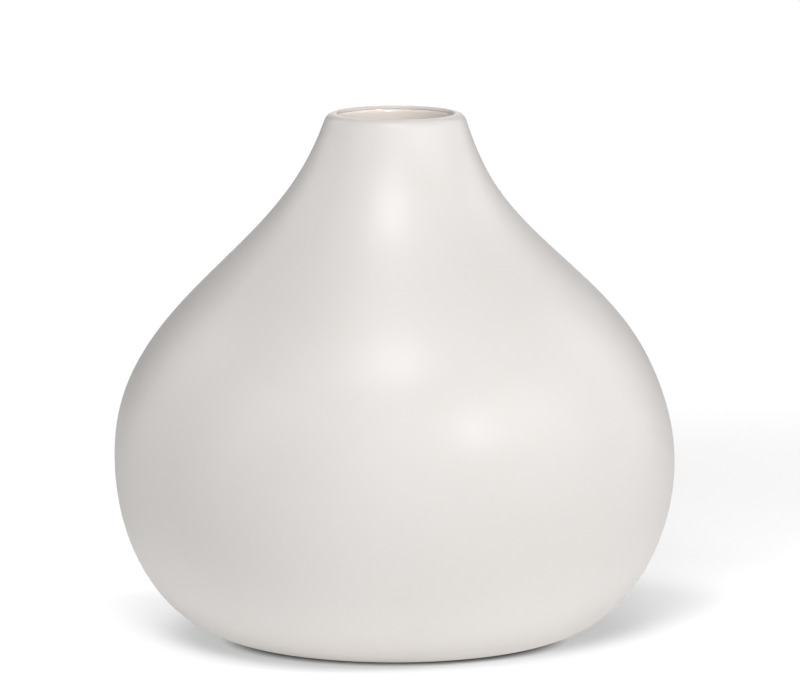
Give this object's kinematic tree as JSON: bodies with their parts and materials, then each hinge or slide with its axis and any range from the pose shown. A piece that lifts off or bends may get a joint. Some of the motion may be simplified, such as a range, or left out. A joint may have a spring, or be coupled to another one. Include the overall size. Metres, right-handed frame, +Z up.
{
  "type": "bud vase",
  "caption": "Squat round ceramic bud vase with a narrow concave neck, small rounded lip, satin off-white glaze, and a bare foot ring standing on felt pads.",
  "frame": {"origin": "on the vase's axis at the underside of the felt pads, level with the table", "axes": "+Z up along the axis of the vase, out of the mouth; +X and +Y are equal by symmetry"},
  "size_m": [0.127, 0.127, 0.1205],
  "materials": {
    "bare_clay": "unglazed fine-grained stoneware, matt",
    "satin_glaze": "satin-matt warm off-white glaze",
    "liner_glaze": "glossy warm off-white liner glaze",
    "base_glaze": "thin satin glaze in the foot recess",
    "felt": "pressed off-white felt",
    "adhesive": "translucent acrylic adhesive layer"
  },
  "bodies": {
    "root": {"clay_body": "bare_clay", "outer_glaze": "satin_glaze", "liner_glaze": "liner_glaze", "base_glaze": "base_glaze", "felt_pad_1": "felt", "felt_pad_2": "felt", "felt_pad_3": "felt", "felt_pad_4": "felt", "pad_adhesive_1": "adhesive", "pad_adhesive_2": "adhesive", "pad_adhesive_3": "adhesive", "pad_adhesive_4": "adhesive"}
  },
  "joints": []
}
